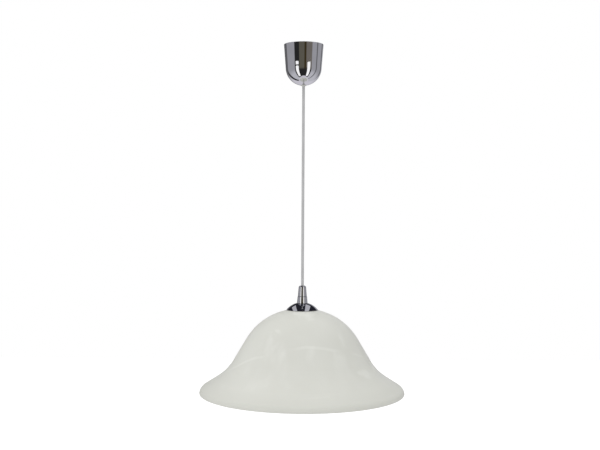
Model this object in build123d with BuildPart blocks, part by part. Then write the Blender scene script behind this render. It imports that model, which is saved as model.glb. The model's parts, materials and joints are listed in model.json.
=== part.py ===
"""Pendant lamp: a bell of alabaster glass under a chrome dome, hung by a round flex from a ceiling cup."""
import os
from math import atan2, cos, pi, radians, sin, sqrt, tan

from build123d import *

os.makedirs("parts", exist_ok=True)

# Driving dimensions in millimetres: z = 0 is the ceiling and the lamp hangs down the Z axis
lamp_drop = 680.5
shade_diameter = 400.0
shade_height = 162.1
glass_wall = 4.0
cup_diameter = 77.2
cup_height = 79.4
flex_diameter = 5.4
bulb_diameter = 60.0
bulb_length = 108.0
bulb_cap_diameter = 25.9

# Fits: pieces that are screwed or pushed together, a bush that runs on the flex, and free air between pieces
fit = 0.05
running_fit = 0.08
air = 0.3

# Flex and the three cores inside it, which stand round its centre
flex_radius = flex_diameter / 2
core_diameter = 1.9
core_radius = core_diameter / 2
core_spacing = core_diameter + 0.44
core_circle = core_spacing / sqrt(3)
core_angles = [330, 210, 90]
core_places = [(core_circle * cos(radians(a)), core_circle * sin(radians(a))) for a in core_angles]

# Ceiling strap
strap_length = 58.0
strap_width = 18.0
strap_thickness = 2.0
strap_corner = 4.0
slot_spacing = 40.0
slot_length = 11.0
slot_width = 5.2

# Hook: a neck on the axis, a bow to the back and a straight run at the bottom that the hanger's eye hangs on
hanger_plate = 4.0
hook_wire = 4.0
hook_radius = hook_wire / 2
hook_drop = 23.0
hook_neck = 7.0
hook_neck_bend = 4.0
hook_bend = 6.0
hook_leg = hook_bend + hook_neck_bend + 1
hook_run = hanger_plate + 1
hook_reach = hook_bend + hook_run / 2
hook_tip = hook_bend + 3
hook_collar = 1.5
hook_bottom = -hook_drop

# Hanger: an eye on the hook, two legs, a clamp block and an arm for the terminals
eye_seat = 0.1
eye_radius = 6.0
eye_wall = 4.0
eye_z = hook_bottom + hook_radius + eye_seat - eye_radius
leg_width = 4.0
window_height = 15.1
block_width = 22.0
block_depth = 8.0
block_height = 14.0
block_top = eye_z - eye_radius - eye_wall - window_height
block_bottom = block_top - block_height
groove_radius = flex_radius + fit
arm_thickness = 2.0
arm_depth = 16.0
arm_corner = 3.0

# Clamp bar, with its screws midway between the groove and the block's sides
clamp_thickness = 3.5
clamp_height = 10.0
clamp_corner = 2.5
clamp_round = 1.0
clamp_z = block_bottom + block_height / 2
clamp_back = flex_radius + fit / 2
clamp_front = clamp_back + clamp_thickness
clamp_screw = 3.0
clamp_screw_head = 2.0
clamp_screw_length = 11.0
clamp_screw_x = (block_width / 2 + groove_radius) / 2
sheath_stub = 2.0
sheath_top = block_top + sheath_stub

# Terminal strip: three poles one above the other on the hanger's arm, with a screw in an ear at each end
pole_pitch = 8.0
pole_gap = 1.6
pole_depth = 12.0
pole_lift = 2.0
web_depth = 6.0
strip_ear = 6.0
terminal_length = 18.0
terminal_end = 2.2
terminal_back = block_width / 2 + arm_thickness
pole_x = terminal_back + pole_depth / 2 - 0.5
pole_front = terminal_back + pole_depth
web_front = terminal_back + web_depth
pole_z = [block_top + pole_lift + pole_pitch * pole for pole in range(3)]
fixing_z = [pole_z[0] - (pole_pitch + strip_ear) / 2, pole_z[-1] + (pole_pitch + strip_ear) / 2]
fixing_screw = 2.5
fixing_head = 1.8
tube_bore = core_radius + 0.55
tube_wall = 0.95
tube_radius = tube_bore + tube_wall
tube_length = terminal_length - 2 * terminal_end
wire_screw = 2.5
wire_screw_y = tube_length / 2 - 2.8
wire_screw_sink = 1.8

# Cores above the flex: each rises in the hanger's window, loops out past the strip and turns into its pole
core_bend = 2.4
core_rise = [3.8, 3.8, 8.0]
core_loop = [3.5, 6.5, 5.0]

# Ceiling cup: a slightly conical wall that runs into a round bottom with a small flat at its pole
cup_gap = 1.0
cup_wall = 1.0
cup_taper = 6.2
cup_flat = 0.45
cup_rim = -cup_gap
cup_bottom = cup_rim - cup_height
cup_rim_radius = cup_diameter / 2
cup_foot_radius = cup_rim_radius - cup_taper
cup_lean = atan2(cup_taper, cup_height)
cup_round = (cup_foot_radius - cup_flat) / tan((pi / 2 - cup_lean) / 2)

# Bush that holds the cup on the flex: it stands on the cup's round inside and ends under the hanger's block
bush_bore = flex_radius + running_fit
bush_neck_radius = flex_radius + 1.8
bush_lip = 0.9
bush_radius = bush_neck_radius + 3.5
bush_chamfer = 1.0
bush_headroom = 0.4
inner_round = cup_round - cup_wall
bush_seat = cup_bottom + cup_round - sqrt(inner_round**2 - (bush_radius - cup_flat) ** 2) + fit
bush_top = block_bottom - bush_headroom
grub_screw = 3.0
grub_slot = 0.6
grub_z = (bush_seat + bush_top) / 2

# Lamp holder, from the bulb's cap outwards
sleeve_radius = bulb_cap_diameter / 2 + 0.45
sleeve_wall = 0.6
sleeve_room = 2.2
holder_ledge = 1.2
holder_wall = 2.6
ledge_bore = sleeve_radius + sleeve_wall + sleeve_room
holder_bore = ledge_bore + holder_ledge
holder_radius = holder_bore + holder_wall

# Rings and soft washers that hold the glass on the holder's thread
ring_bore = holder_radius + fit
upper_ring_radius = holder_radius + 6.5
upper_ring_height = 3.0
upper_ring_chamfer = 1.0
lower_ring_radius = holder_radius + 8.0
lower_ring_height = 7.0
ring_flutes = 24
flute_radius = 1.2
gasket_thickness = 0.8
gasket_radius = upper_ring_radius - 1

# Glass shade: corners of the outside line, which large rounds run through
rim_z = -lamp_drop
rim_radius = shade_diameter / 2
neck_z = rim_z + shade_height
neck_hole = holder_radius + 1.5
ledge_radius = neck_hole + 7.5
ledge_round = 12.0
shoulder_radius = 85.6
shoulder_fall = 17.3
shoulder_round = 118.0
waist_radius = 146.6
waist_rise = 42.5
waist_round = 105.0
lip_rise = 8.4
lip_flat = 0.85
lip_turn = atan2(rim_radius - waist_radius, waist_rise - lip_rise)
lip_round = (lip_rise - lip_flat) / tan(lip_turn / 2)
shoulder_slope = shoulder_fall / (shoulder_radius - ledge_radius)

# Chrome dome: a round cap over the upper ring, whose inner edge stands on the slope of the glass
dome_wall = 1.0
dome_edge_radius = upper_ring_radius + 4.3
dome_radius = dome_edge_radius + 9.2
dome_inside = dome_radius - dome_wall
dome_foot_radius = dome_edge_radius * dome_inside / dome_radius
dome_foot_z = neck_z - shoulder_slope * (dome_foot_radius - ledge_radius) + fit
dome_centre = dome_foot_z - sqrt(dome_inside**2 - dome_foot_radius**2)
dome_edge_z = dome_centre + sqrt(dome_radius**2 - dome_edge_radius**2)

# Gland on the dome: a base cone and a nut cone, with a collet between them
gland_base_height = 13.0
gland_base_foot = 10.3
gland_base_head = 9.2
gland_nut_height = 20.9
gland_nut_foot = 8.8
gland_nut_head = 7.2
gland_nut_round = 2.1
gland_edge = 0.8
gland_seam_edge = 0.8
gland_mouth = flex_radius + 0.6
gland_mouth_lip = 1.3
gland_throat = flex_radius + 0.25
gland_flare = 2.5
dome_land = gland_base_foot + 0.1
dome_top = dome_centre + sqrt(dome_radius**2 - dome_land**2)
gland_bottom = dome_top
gland_seam = gland_bottom + gland_base_height
gland_top = gland_seam + fit + gland_nut_height
spigot_radius = 5.9
collet_roof = 6.1
collet_height = 5.35
collet_cone = 1.05
collet_rise = 3.4
collet_slit = 0.6
collet_top = gland_top - collet_roof - fit
collet_foot = collet_top - collet_height
spigot_top = collet_foot - fit

# Hollow threaded nipple, with a toothed washer and a nut under the dome
nipple_radius = 5.0
nipple_bore = flex_radius + 0.5
nipple_grip = 6.0
nipple_chamfer = 0.5
washer_radius = 7.0
washer_thickness = 0.8
washer_teeth = 12
nut_width = 14.0
nut_height = 3.0
washer_top = dome_top - dome_wall
nut_top = washer_top - washer_thickness
nut_bottom = nut_top - nut_height

# Heights of the lamp holder, from the nut down to its mouth
holder_top = nut_bottom - fit
holder_cap_height = 6.2
holder_split = holder_top - holder_cap_height
cap_neck_radius = 9.9
cap_roof = 1.6
cap_edge = 1.4
steel_bush_radius = cap_neck_radius - 1.25
steel_bush_bottom = holder_split + 1
nipple_bottom = holder_top - nipple_grip
wiring_room = 8.3
insert_thickness = 6.5
insert_top = holder_split - wiring_room
insert_bottom = insert_top - insert_thickness
sleeve_length = 23.0
sleeve_bottom = insert_bottom - sleeve_length
mouth_depth = 7.0
mouth_lip = 1.5
mouth_lip_radius = sleeve_radius + sleeve_wall + 1.2
holder_mouth = sleeve_bottom - mouth_depth
contact_height = 2.0
contact_length = 16.0
contact_width = 5.0
rivet_radius = 1.5

# Brass terminals on the holder's insert, in line with two of the cores
brass_x = 9.0
brass_y = core_places[0][1]
brass_width = 5.0
brass_height = 4.0
brass_top = insert_top + brass_height
brass_screw = 2.4
brass_screw_head = 1.4
brass_screw_length = brass_height / 2 - core_radius - 2 * fit

# Flex and cores below the dome
tail_top = gland_top - 1
tail_end = nipple_bottom - 0.5
tail_bend = 1.5
tail_run = insert_top + brass_height / 2
earth_turn = tail_end - 2.2
earth_y = (nipple_radius + steel_bush_radius) / 2

# Bulb: contact, insulator and screw cap, then a neck that flares to the globe
bulb_gap = 0.1
bulb_radius = bulb_diameter / 2
bulb_cap_radius = bulb_cap_diameter / 2
bulb_contact_radius = 4.5
bulb_contact_height = 1.5
bulb_insulator_height = 3.5
bulb_cap_length = 20.0
bulb_cap_wall = 0.4
bulb_cap_shoulder = 2.5
bulb_top = insert_bottom - contact_height - bulb_gap
bulb_bottom = bulb_top - bulb_length
insulator_top = bulb_top - bulb_contact_height
bulb_cap_top = insulator_top - bulb_insulator_height
bulb_cap_bottom = bulb_cap_top - bulb_cap_length
insulator_radius = bulb_cap_radius - bulb_cap_shoulder - bulb_cap_wall - fit
globe_wall = 1.2
globe_neck_radius = bulb_cap_radius + 0.25
globe_neck_length = 8.0
globe_neck_flare = 0.8
globe_neck_round = 20.0
globe_flare_run = 16.0
globe_neck_end = bulb_cap_bottom - globe_neck_length
globe_widest = bulb_bottom + bulb_radius + globe_flare_run
globe_flare_width = bulb_radius - globe_neck_radius - globe_neck_flare
globe_flare_turn = atan2(globe_flare_width, globe_neck_end - globe_widest)
globe_flare_round = (globe_flare_run - 0.5) / tan(globe_flare_turn / 2)


def half_section(*points):
    """Face of a half section in the X-Z plane, from (radius, height) points, to be turned round Z."""
    with BuildSketch(Plane.XZ) as section:
        with BuildLine():
            Polyline(*points, close=True)
        make_face()
    return section.sketch


def circles(piece, radius):
    """Circular edges of a piece that have the given radius."""
    round_edges = piece.edges().filter_by(GeomType.CIRCLE)
    return round_edges.filter_by(lambda edge: abs(edge.radius - radius) < 0.01)


def slotted_screws(plane, places, diameter, length, head, angle):
    """Screws whose slotted pan heads stand on the plane and whose shanks run in behind it."""
    with BuildPart() as screws:
        with BuildSketch(plane):
            with Locations(*places):
                Circle(diameter)
        extrude(amount=head)
        fillet(screws.edges().group_by(Axis((0, 0, 0), plane.z_dir))[-1], 0.4 * head)
        with BuildSketch(plane):
            with Locations(*places):
                Circle(diameter / 2)
        extrude(amount=-length)
        with BuildSketch(plane.offset(head)):
            with Locations(*places):
                Rectangle(2.2 * diameter, diameter / 4, rotation=angle)
        extrude(amount=-head / 2, mode=Mode.SUBTRACT)
    return screws


def finish(piece, label):
    """Names a finished piece and writes its file."""
    piece.part.label = label
    export_step(piece.part, f"parts/{label}.step")


# Ceiling strap with two slots for the ceiling screws and a hole for the hook
with BuildPart() as ceiling_strap:
    with BuildSketch(Plane.XY.offset(-strap_thickness)):
        RectangleRounded(strap_length, strap_width, strap_corner)
        with Locations((-slot_spacing / 2, 0), (slot_spacing / 2, 0)):
            SlotOverall(slot_length, slot_width, mode=Mode.SUBTRACT)
        Circle(hook_radius + fit, mode=Mode.SUBTRACT)
    extrude(amount=strap_thickness)
    fillet(ceiling_strap.faces().sort_by(Axis.Z)[0].outer_wire().edges(), strap_thickness / 4)
finish(ceiling_strap, "ceiling_strap")

# Hook bent from round wire, riveted into the strap with a collar under it, with a rounded tip
with BuildPart() as ceiling_hook:
    with BuildLine(Plane.YZ) as hook_route:
        FilletPolyline(
            (0, -air), (0, -hook_neck), (hook_reach, hook_bottom + hook_leg), (hook_reach, hook_bottom),
            (-hook_reach, hook_bottom), (-hook_reach, hook_bottom + hook_tip),
            radius=[hook_neck_bend, hook_neck_bend, hook_bend, hook_bend],
        )
    with BuildSketch(Plane(origin=hook_route.line @ 0, z_dir=hook_route.line % 0)):
        Circle(hook_radius)
    sweep()
    with Locations((0, -hook_reach, hook_bottom + hook_tip)):
        Sphere(hook_radius)
    with BuildSketch(Plane.XY.offset(-strap_thickness)):
        Circle(hook_radius + hook_collar)
    extrude(amount=-hook_collar)
finish(ceiling_hook, "ceiling_hook")

# Hanger: eye and legs, then the clamp block with a groove for the flex, then the arm for the terminals
clamp_screw_places = [(-clamp_screw_x, clamp_z), (clamp_screw_x, clamp_z)]
fixing_places = [(0, z) for z in fixing_z]
leg_x = eye_radius + leg_width / 2
leg_height = eye_z - block_top + 1
arm_top = fixing_z[-1] + strip_ear / 2 + 1
with BuildPart() as hanger:
    with BuildSketch(Plane.XZ):
        with Locations((0, eye_z)):
            Circle(eye_radius + eye_wall)
        with Locations((-leg_x, eye_z - leg_height / 2), (leg_x, eye_z - leg_height / 2)):
            Rectangle(leg_width, leg_height)
        with Locations((0, eye_z)):
            Circle(eye_radius, mode=Mode.SUBTRACT)
    extrude(amount=hanger_plate / 2, both=True)
    fillet(circles(hanger, eye_radius), hanger_plate / 5)
    with BuildSketch(Plane.XY.offset(block_bottom)):
        with Locations((0, (block_depth - hanger_plate / 2) / 2)):
            Rectangle(block_width, block_depth + hanger_plate / 2)
        Circle(groove_radius, mode=Mode.SUBTRACT)
        with Locations((0, -hanger_plate / 2)):
            Rectangle(2 * groove_radius, hanger_plate, mode=Mode.SUBTRACT)
    extrude(amount=block_height)
    with BuildSketch(Plane.YZ.offset(block_width / 2)):
        with Locations((0, (arm_top + block_bottom) / 2)):
            RectangleRounded(arm_depth, arm_top - block_bottom, arm_corner)
    extrude(amount=arm_thickness)
    with BuildSketch(Plane.XZ.offset(hanger_plate / 2)):
        with Locations(*clamp_screw_places):
            Circle(clamp_screw / 2 + fit)
    extrude(amount=-block_depth - hanger_plate, mode=Mode.SUBTRACT)
    with BuildSketch(Plane.YZ.offset(terminal_back)):
        with Locations(*fixing_places):
            Circle(fixing_screw / 2 + fit)
    extrude(amount=-arm_thickness, mode=Mode.SUBTRACT)
finish(hanger, "hanger")

# Clamp bar that presses the flex into the hanger's groove
with BuildPart() as cord_clamp:
    with BuildSketch(Plane.XZ.offset(clamp_back)):
        with Locations((0, clamp_z)):
            RectangleRounded(block_width - 1, clamp_height, clamp_corner)
        with Locations(*clamp_screw_places):
            Circle(clamp_screw / 2 + fit, mode=Mode.SUBTRACT)
    extrude(amount=clamp_thickness)
    fillet(cord_clamp.faces().sort_by(Axis.Y)[0].outer_wire().edges(), clamp_round)
finish(cord_clamp, "cord_clamp")

# Two clamp screws
clamp_plane = Plane.XZ.offset(clamp_front)
clamp_screws = slotted_screws(
    clamp_plane, clamp_screw_places, clamp_screw, clamp_screw_length, clamp_screw_head, 35
)
finish(clamp_screws, "clamp_screws")

# Terminal strip: webbed base with a hump over each pole, wire holes along Y and screw holes from the front
pole_places = [(pole_x, z) for z in pole_z]
hump_places = [((terminal_back + pole_front) / 2, z) for z in pole_z]
wire_screw_places = [(y, z) for z in pole_z for y in (-wire_screw_y, wire_screw_y)]
with BuildPart() as terminal_block:
    with BuildSketch(Plane.XZ):
        with Locations(((terminal_back + web_front) / 2, pole_z[1])):
            Rectangle(web_depth, fixing_z[-1] - fixing_z[0] + strip_ear)
        with Locations(*hump_places):
            Rectangle(pole_depth, pole_pitch - pole_gap)
    extrude(amount=terminal_length / 2, both=True)
    fillet(terminal_block.edges().filter_by(Axis.Y).group_by(Axis.X)[-1], pole_gap)
    with BuildSketch(Plane.XZ.offset(-tube_length / 2)):
        with Locations(*pole_places):
            Circle(tube_radius + fit)
    extrude(amount=tube_length, mode=Mode.SUBTRACT)
    with BuildSketch(Plane.XZ.offset(-terminal_length / 2)):
        with Locations(*pole_places):
            Circle(tube_bore + 2 * fit)
    extrude(amount=terminal_length, mode=Mode.SUBTRACT)
    with BuildSketch(Plane.YZ.offset(pole_x)):
        with Locations(*wire_screw_places):
            Circle(wire_screw / 2 + air)
    extrude(amount=pole_front - pole_x, mode=Mode.SUBTRACT)
    with BuildSketch(Plane.YZ.offset(terminal_back)):
        with Locations(*fixing_places):
            Circle(fixing_screw / 2 + fit)
    extrude(amount=web_depth, mode=Mode.SUBTRACT)
finish(terminal_block, "terminal_block")

# Brass tubes inside the poles, each with two tapped holes
with BuildPart() as terminal_tubes:
    with BuildSketch(Plane.XZ.offset(fit - tube_length / 2)):
        with Locations(*pole_places):
            Circle(tube_radius)
            Circle(tube_bore, mode=Mode.SUBTRACT)
    extrude(amount=tube_length - 2 * fit)
    with BuildSketch(Plane.YZ.offset(pole_x)):
        with Locations(*wire_screw_places):
            Circle(wire_screw / 2 + fit)
    extrude(amount=2 * tube_radius, mode=Mode.SUBTRACT)
finish(terminal_tubes, "terminal_tubes")

# Six wire screws with slotted tops, sunk in the strip and pressing on the cores
screw_tip = pole_x + core_radius + fit
screw_top = pole_front - wire_screw_sink
with BuildPart() as terminal_screws:
    with BuildSketch(Plane.YZ.offset(screw_tip)):
        with Locations(*wire_screw_places):
            Circle(wire_screw / 2)
    extrude(amount=screw_top - screw_tip)
    with BuildSketch(Plane.YZ.offset(screw_top)):
        with Locations(*wire_screw_places):
            Rectangle(1.5 * wire_screw, wire_screw / 4, rotation=60)
    extrude(amount=-wire_screw / 3, mode=Mode.SUBTRACT)
finish(terminal_screws, "terminal_screws")

# Two screws through the strip's ears hold it on the arm
fixing_plane = Plane.YZ.offset(web_front)
fixing_length = web_depth + 0.75 * arm_thickness
terminal_fixings = slotted_screws(fixing_plane, fixing_places, fixing_screw, fixing_length, fixing_head, 25)
finish(terminal_fixings, "terminal_fixings")

# Flex: one straight taut run from the hanger's clamp to the gland's mouth
cord_end = gland_top + 0.2
with BuildPart() as cord:
    with BuildSketch(Plane.XY.offset(cord_end)):
        Circle(flex_radius)
    extrude(amount=sheath_top - cord_end)
finish(cord, "cord")


def round_core(route, bend):
    """Insulated core along a route that starts upright, with its corners rounded."""
    start = route[0]
    with BuildPart() as core:
        with BuildLine():
            FilletPolyline(*route, radius=bend)
        with BuildSketch(Plane.XY.offset(start[2])):
            with Locations(start[:2]):
                Circle(core_radius)
        sweep()
    return core


# Three cores from the flex, out through the window between the hanger's legs and round to the terminals
core_names = ["lead_live", "lead_neutral", "lead_earth"]
for name, (x, y), rise, loop, pole in zip(core_names, core_places, core_rise, core_loop, pole_z):
    front = -terminal_length / 2 - loop
    top = sheath_top + rise
    end = wire_screw / 2 - wire_screw_y
    route = [(x, y, sheath_top), (x, y, top), (x, front, top), (pole_x, front, pole), (pole_x, end, pole)]
    finish(round_core(route, core_bend), name)

# Ceiling cup: the outside line, drawn from the rim, is thickened inwards and turned
with BuildPart() as ceiling_cup:
    with BuildSketch(Plane.XZ):
        with BuildLine():
            FilletPolyline(
                (cup_rim_radius, cup_rim), (cup_foot_radius, cup_bottom), (0, cup_bottom),
                radius=[cup_round],
            )
            offset(amount=cup_wall, side=Side.RIGHT)
        make_face()
    revolve(axis=Axis.Z)
    with BuildSketch(Plane.XY.offset(cup_bottom)):
        Circle(bush_neck_radius + fit)
    extrude(amount=2 * cup_wall, mode=Mode.SUBTRACT)
    fillet(ceiling_cup.faces().sort_by(Axis.Z)[-1].edges(), 0.35 * cup_wall)
finish(ceiling_cup, "ceiling_cup")

# Bush that snaps into the cup's bottom and runs on the flex, with a tapped hole for its grub screw
with BuildPart() as cup_bush:
    revolve(half_section(
        (bush_bore, cup_bottom - bush_lip), (bush_neck_radius + bush_lip / 2, cup_bottom - bush_lip),
        (bush_neck_radius + bush_lip, cup_bottom - fit), (bush_neck_radius, cup_bottom - fit),
        (bush_neck_radius, bush_seat), (bush_radius, bush_seat), (bush_radius, bush_top - bush_chamfer),
        (bush_radius - bush_chamfer, bush_top), (bush_bore, bush_top),
    ), axis=Axis.Z)
    with BuildSketch(Plane.YZ):
        with Locations((0, grub_z)):
            Circle(grub_screw / 2 + fit)
    extrude(amount=bush_radius + 1, mode=Mode.SUBTRACT)
finish(cup_bush, "cup_bush")

# Slotted grub screw in the bush
with BuildPart() as cup_grub_screw:
    with BuildSketch(Plane.YZ.offset(flex_radius + air)):
        with Locations((0, grub_z)):
            Circle(grub_screw / 2)
    extrude(amount=bush_radius - flex_radius - air)
    with BuildSketch(Plane.YZ.offset(bush_radius)):
        with Locations((0, grub_z)):
            Rectangle(1.5 * grub_screw, grub_slot)
    extrude(amount=-2 * grub_slot, mode=Mode.SUBTRACT)
finish(cup_grub_screw, "cup_grub_screw")

# Upper cone of the gland: a nut with a flared mouth for the flex and a cone inside that closes the collet
nut_bore = spigot_radius + 2 * fit
with BuildPart() as gland_nut:
    revolve(half_section(
        (gland_mouth, gland_top), (gland_mouth + gland_mouth_lip, gland_top),
        (gland_nut_head, gland_top - gland_nut_round), (gland_nut_foot, gland_seam + fit),
        (nut_bore, gland_seam + fit), (nut_bore, gland_top - collet_roof - collet_rise),
        (nut_bore - collet_cone, gland_top - collet_roof), (gland_throat, gland_top - collet_roof),
        (gland_throat, gland_top - gland_flare),
    ), axis=Axis.Z)
    fillet(circles(gland_nut, gland_nut_head), gland_edge)
    fillet(circles(gland_nut, gland_nut_foot), gland_seam_edge)
finish(gland_nut, "gland_nut")

# Soft collet, slit crosswise from its top, that the two cones squeeze on the flex
with BuildPart() as gland_collet:
    revolve(half_section(
        (flex_radius + fit / 2, collet_foot), (spigot_radius, collet_foot),
        (spigot_radius, collet_top - collet_rise), (spigot_radius - collet_cone, collet_top),
        (flex_radius + fit / 2, collet_top),
    ), axis=Axis.Z)
    with BuildSketch(Plane.XY.offset(collet_top)):
        Rectangle(2 * spigot_radius + 1, collet_slit)
        Rectangle(collet_slit, 2 * spigot_radius + 1)
    extrude(amount=-collet_height / 2, mode=Mode.SUBTRACT)
finish(gland_collet, "gland_collet")

# Lower cone of the gland, with a threaded spigot inside the nut and a socket for the nipple
socket_top = gland_bottom + nipple_grip
with BuildPart() as gland_base:
    revolve(half_section(
        (nipple_bore, spigot_top), (spigot_radius, spigot_top), (spigot_radius, gland_seam),
        (gland_base_head, gland_seam), (gland_base_foot, gland_bottom), (nipple_radius + fit, gland_bottom),
        (nipple_radius + fit, socket_top), (nipple_bore, socket_top),
    ), axis=Axis.Z)
    fillet(circles(gland_base, gland_base_head), gland_seam_edge)
finish(gland_base, "gland_base")

# Hollow threaded nipple that ties the gland, the dome and the holder together
with BuildPart() as nipple:
    with BuildSketch(Plane.XY.offset(nipple_bottom)):
        Circle(nipple_radius)
        Circle(nipple_bore, mode=Mode.SUBTRACT)
    extrude(amount=socket_top - fit - nipple_bottom)
    chamfer(circles(nipple, nipple_radius), nipple_chamfer)
finish(nipple, "nipple")

# Chrome dome: the flat land and the round, thickened inwards and turned, with a hole for the nipple
with BuildPart() as dome_cap:
    with BuildSketch(Plane.XZ):
        with BuildLine():
            Line((0, dome_top), (dome_land, dome_top))
            RadiusArc((dome_land, dome_top), (dome_edge_radius, dome_edge_z), dome_radius)
            offset(amount=dome_wall, side=Side.RIGHT)
        make_face()
    revolve(axis=Axis.Z)
    with BuildSketch(Plane.XY.offset(dome_top)):
        Circle(nipple_radius + fit)
    extrude(amount=-2 * dome_wall, mode=Mode.SUBTRACT)
finish(dome_cap, "dome_cap")

# Toothed washer under the dome
with BuildPart() as lock_washer:
    with BuildSketch(Plane.XY.offset(nut_top)):
        Circle(washer_radius)
        with PolarLocations(washer_radius, washer_teeth):
            Rectangle(washer_radius / 4, washer_radius / 4)
        Circle(nipple_radius + fit, mode=Mode.SUBTRACT)
    extrude(amount=washer_thickness)
finish(lock_washer, "lock_washer")

# Hexagon nut under the washer
with BuildPart() as nipple_nut:
    with BuildSketch(Plane.XY.offset(nut_bottom)):
        RegularPolygon(nut_width / 2, 6, major_radius=False)
        Circle(nipple_radius + fit, mode=Mode.SUBTRACT)
    extrude(amount=nut_height)
finish(nipple_nut, "nipple_nut")

# Flex inside the gland and the nipple, stripped just below the nipple
with BuildPart() as cord_tail:
    with BuildSketch(Plane.XY.offset(tail_end)):
        Circle(flex_radius)
    extrude(amount=tail_top - tail_end)
finish(cord_tail, "cord_tail")

# Cap of the lamp holder: a neck, a sloping roof, and a skirt inside the shell that presses on the insert
cap_bore = nipple_radius + 4 * fit
cap_radius = holder_radius - 2 * fit
pocket_radius = steel_bush_radius + fit
skirt_radius = holder_bore - 4 * fit
skirt_bore = skirt_radius - cap_roof
with BuildPart() as holder_cap:
    revolve(half_section(
        (cap_bore, holder_top), (cap_neck_radius, holder_top), (cap_neck_radius, holder_top - cap_roof),
        (cap_radius, holder_split + cap_edge), (cap_radius, holder_split), (skirt_radius, holder_split),
        (skirt_radius, insert_top + fit), (skirt_bore, insert_top + fit), (skirt_bore, holder_split),
        (pocket_radius, steel_bush_bottom), (pocket_radius, holder_top - cap_roof),
        (cap_bore, holder_top - cap_roof),
    ), axis=Axis.Z)
finish(holder_cap, "holder_cap")

# Steel bush in the holder's cap, which takes the nipple's thread and the earth core
with BuildPart() as holder_bush:
    with BuildSketch(Plane.XY.offset(steel_bush_bottom)):
        Circle(steel_bush_radius)
        Circle(nipple_radius + fit, mode=Mode.SUBTRACT)
    extrude(amount=holder_top - cap_roof - fit - steel_bush_bottom)
finish(holder_bush, "holder_bush")

# Shell of the lamp holder, with a ledge inside for the insert and a lip round the bulb
with BuildPart() as holder_shell:
    revolve(half_section(
        (holder_bore, holder_split - fit), (holder_radius, holder_split - fit),
        (holder_radius, sleeve_bottom), (holder_radius - 1, holder_mouth), (mouth_lip_radius, holder_mouth),
        (mouth_lip_radius, holder_mouth + mouth_lip), (ledge_bore, holder_mouth + 2 * mouth_lip),
        (ledge_bore, insert_bottom - fit), (holder_bore, insert_bottom - fit),
    ), axis=Axis.Z)
finish(holder_shell, "holder_shell")

# Ceramic insert, which carries the terminals on top and the screw sleeve below
with BuildPart() as holder_insert:
    with BuildSketch(Plane.XY.offset(insert_bottom)):
        Circle(holder_bore - 2 * fit)
        Circle(rivet_radius + fit, mode=Mode.SUBTRACT)
    extrude(amount=insert_thickness)
finish(holder_insert, "holder_insert")

# Screw sleeve for the bulb
with BuildPart() as holder_sleeve:
    with BuildSketch(Plane.XY.offset(sleeve_bottom)):
        Circle(sleeve_radius + sleeve_wall)
        Circle(sleeve_radius, mode=Mode.SUBTRACT)
    extrude(amount=sleeve_length)
finish(holder_sleeve, "holder_sleeve")

# Centre contact, riveted through the insert
with BuildPart() as centre_contact:
    with BuildSketch(Plane.XY.offset(insert_bottom - contact_height)):
        SlotOverall(contact_length, contact_width)
    extrude(amount=contact_height)
    with BuildSketch(Plane.XY.offset(insert_bottom)):
        Circle(rivet_radius)
    extrude(amount=insert_thickness)
finish(centre_contact, "centre_contact")

# Two brass terminals on the insert, drilled crosswise for the cores
brass_places = [(-brass_x, brass_y), (brass_x, brass_y)]
with BuildPart() as holder_terminals:
    with BuildSketch(Plane.XY.offset(insert_top)):
        with Locations(*brass_places):
            Rectangle(brass_width, brass_width + 1)
    extrude(amount=brass_height)
    with BuildSketch(Plane.YZ.offset(-brass_x - brass_width)):
        with Locations((brass_y, tail_run)):
            Circle(core_radius + fit)
    extrude(amount=2 * (brass_x + brass_width), mode=Mode.SUBTRACT)
    with BuildSketch(Plane.XY.offset(brass_top)):
        with Locations(*brass_places):
            Circle(brass_screw / 2 + fit)
    extrude(amount=-brass_height / 2, mode=Mode.SUBTRACT)
finish(holder_terminals, "holder_terminals")

# Their screws
brass_plane = Plane.XY.offset(brass_top)
holder_screws = slotted_screws(
    brass_plane, brass_places, brass_screw, brass_screw_length, brass_screw_head, 0
)
finish(holder_screws, "holder_screws")

# Cores inside the holder: two run out to the terminals and the earth turns up to the steel bush
live, neutral, earth = [(x, y, tail_end) for x, y in core_places]
live_route = [live, (*live[:2], tail_run), (brass_x, brass_y, tail_run)]
neutral_route = [neutral, (*neutral[:2], tail_run), (-brass_x, brass_y, tail_run)]
earth_route = [
    earth, (*earth[:2], earth_turn), (earth[0], earth_y, earth_turn), (earth[0], earth_y, steel_bush_bottom),
]
finish(round_core(live_route, tail_bend), "holder_lead_live")
finish(round_core(neutral_route, tail_bend), "holder_lead_neutral")
finish(round_core(earth_route, tail_bend), "holder_lead_earth")

# Soft washers against both faces of the glass
lower_ring_top = neck_z - glass_wall - gasket_thickness
with BuildPart() as shade_gaskets:
    for height in (neck_z, lower_ring_top):
        with BuildSketch(Plane.XY.offset(height)):
            Circle(gasket_radius)
            Circle(holder_radius + air, mode=Mode.SUBTRACT)
        extrude(amount=gasket_thickness)
finish(shade_gaskets, "shade_gaskets")

# Plain ring on the holder's thread above the glass
with BuildPart() as upper_ring:
    with BuildSketch(Plane.XY.offset(neck_z + gasket_thickness)):
        Circle(upper_ring_radius)
        Circle(ring_bore, mode=Mode.SUBTRACT)
    extrude(amount=upper_ring_height)
    chamfer(upper_ring.faces().sort_by(Axis.Z)[-1].outer_wire().edges(), upper_ring_chamfer)
finish(upper_ring, "upper_ring")

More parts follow.
